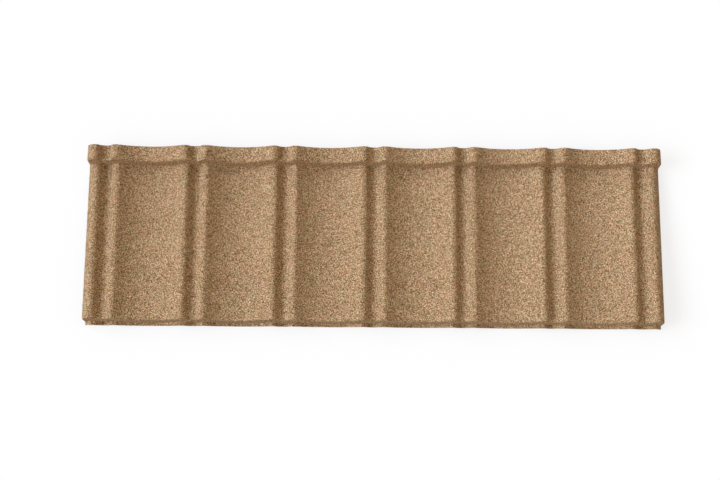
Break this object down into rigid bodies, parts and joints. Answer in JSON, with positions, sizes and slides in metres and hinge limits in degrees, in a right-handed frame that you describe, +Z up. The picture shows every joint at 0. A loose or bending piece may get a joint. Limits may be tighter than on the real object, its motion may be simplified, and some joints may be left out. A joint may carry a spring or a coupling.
{
  "type": "tile effect metal roofing sheet",
  "caption": "Pressed steel roofing sheet shaped as a row of pan tiles, with a raised rear flange, a turned-down nose with a lip, and a sandy brown stone chip coat.",
  "frame": {"origin": "on the floor under the middle of the sheet", "axes": "+X across the sheet along its ribs' row, -Y to the nose that laps the course below, +Z up from the battens"},
  "size_m": [1.3468, 0.42, 0.0652],
  "materials": {
    "stone_chip_coat": "matt, gritty stone chips bonded to coated steel"
  },
  "bodies": {
    "root": {"roofing_sheet": "stone_chip_coat"}
  },
  "joints": []
}
